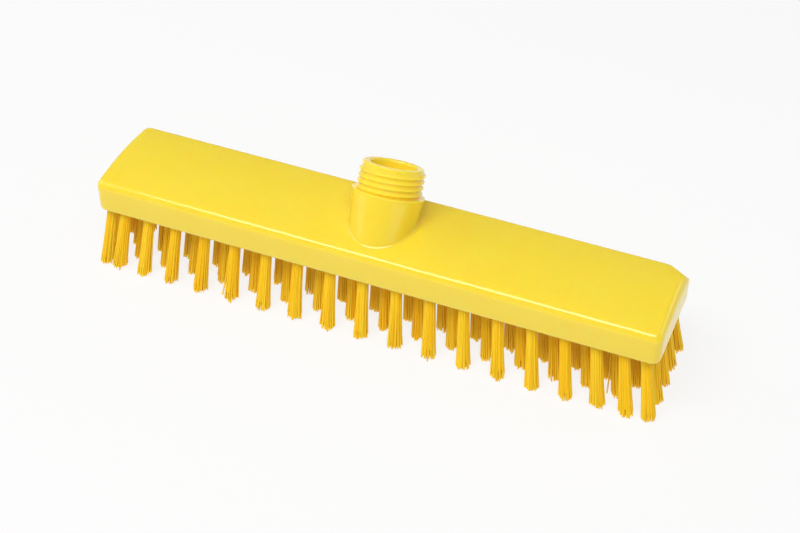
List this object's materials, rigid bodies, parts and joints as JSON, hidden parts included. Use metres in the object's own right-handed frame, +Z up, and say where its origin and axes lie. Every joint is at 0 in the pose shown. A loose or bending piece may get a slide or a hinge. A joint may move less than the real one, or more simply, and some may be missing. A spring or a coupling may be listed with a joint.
{
  "type": "floor scrub brush head",
  "caption": "Long moulded block with staggered tufts of stiff bristle below and a leaning, hollow, outside-threaded neck on top for a handle, for scrubbing floors.",
  "frame": {"origin": "on the plane of the bristle tips, under the middle of the block", "axes": "+X along the block, towards the end with the bevelled rear corner; +Y across it, towards the back, to which the neck leans; +Z up, from the bristle tips to the neck"},
  "size_m": [0.3037, 0.0578, 0.0901],
  "materials": {
    "block_plastic": "moulded polypropylene in bright yellow, semi-gloss",
    "bristle": "stiff polyester filament in deep yellow",
    "anchor_steel": "cut steel strip, bright"
  },
  "bodies": {
    "root": {"brush_block": "block_plastic", "bristle_section_1": "bristle", "bristle_section_2": "bristle", "bristle_section_3": "bristle", "bristle_section_4": "bristle", "tuft_anchors_01": "anchor_steel", "tuft_anchors_02": "anchor_steel", "tuft_anchors_03": "anchor_steel", "tuft_anchors_04": "anchor_steel", "tuft_anchors_05": "anchor_steel", "tuft_anchors_06": "anchor_steel", "tuft_anchors_07": "anchor_steel", "tuft_anchors_08": "anchor_steel", "tuft_anchors_09": "anchor_steel", "tuft_anchors_10": "anchor_steel", "tuft_anchors_11": "anchor_steel", "tuft_anchors_12": "anchor_steel", "tuft_anchors_13": "anchor_steel", "tuft_anchors_14": "anchor_steel", "tuft_anchors_15": "anchor_steel", "tuft_anchors_16": "anchor_steel", "tuft_anchors_17": "anchor_steel", "tuft_anchors_18": "anchor_steel", "tuft_anchors_19": "anchor_steel", "tuft_anchors_20": "anchor_steel", "tuft_anchors_21": "anchor_steel", "tuft_anchors_22": "anchor_steel", "tuft_anchors_23": "anchor_steel", "tuft_anchors_24": "anchor_steel", "tuft_anchors_25": "anchor_steel", "tuft_anchors_26": "anchor_steel", "tuft_anchors_27": "anchor_steel", "tuft_anchors_28": "anchor_steel", "tuft_anchors_29": "anchor_steel", "tuft_anchors_30": "anchor_steel", "tuft_anchors_31": "anchor_steel", "tuft_anchors_32": "anchor_steel", "tuft_anchors_33": "anchor_steel", "tuft_anchors_end_left": "anchor_steel", "tuft_anchors_end_right": "anchor_steel"}
  },
  "joints": []
}
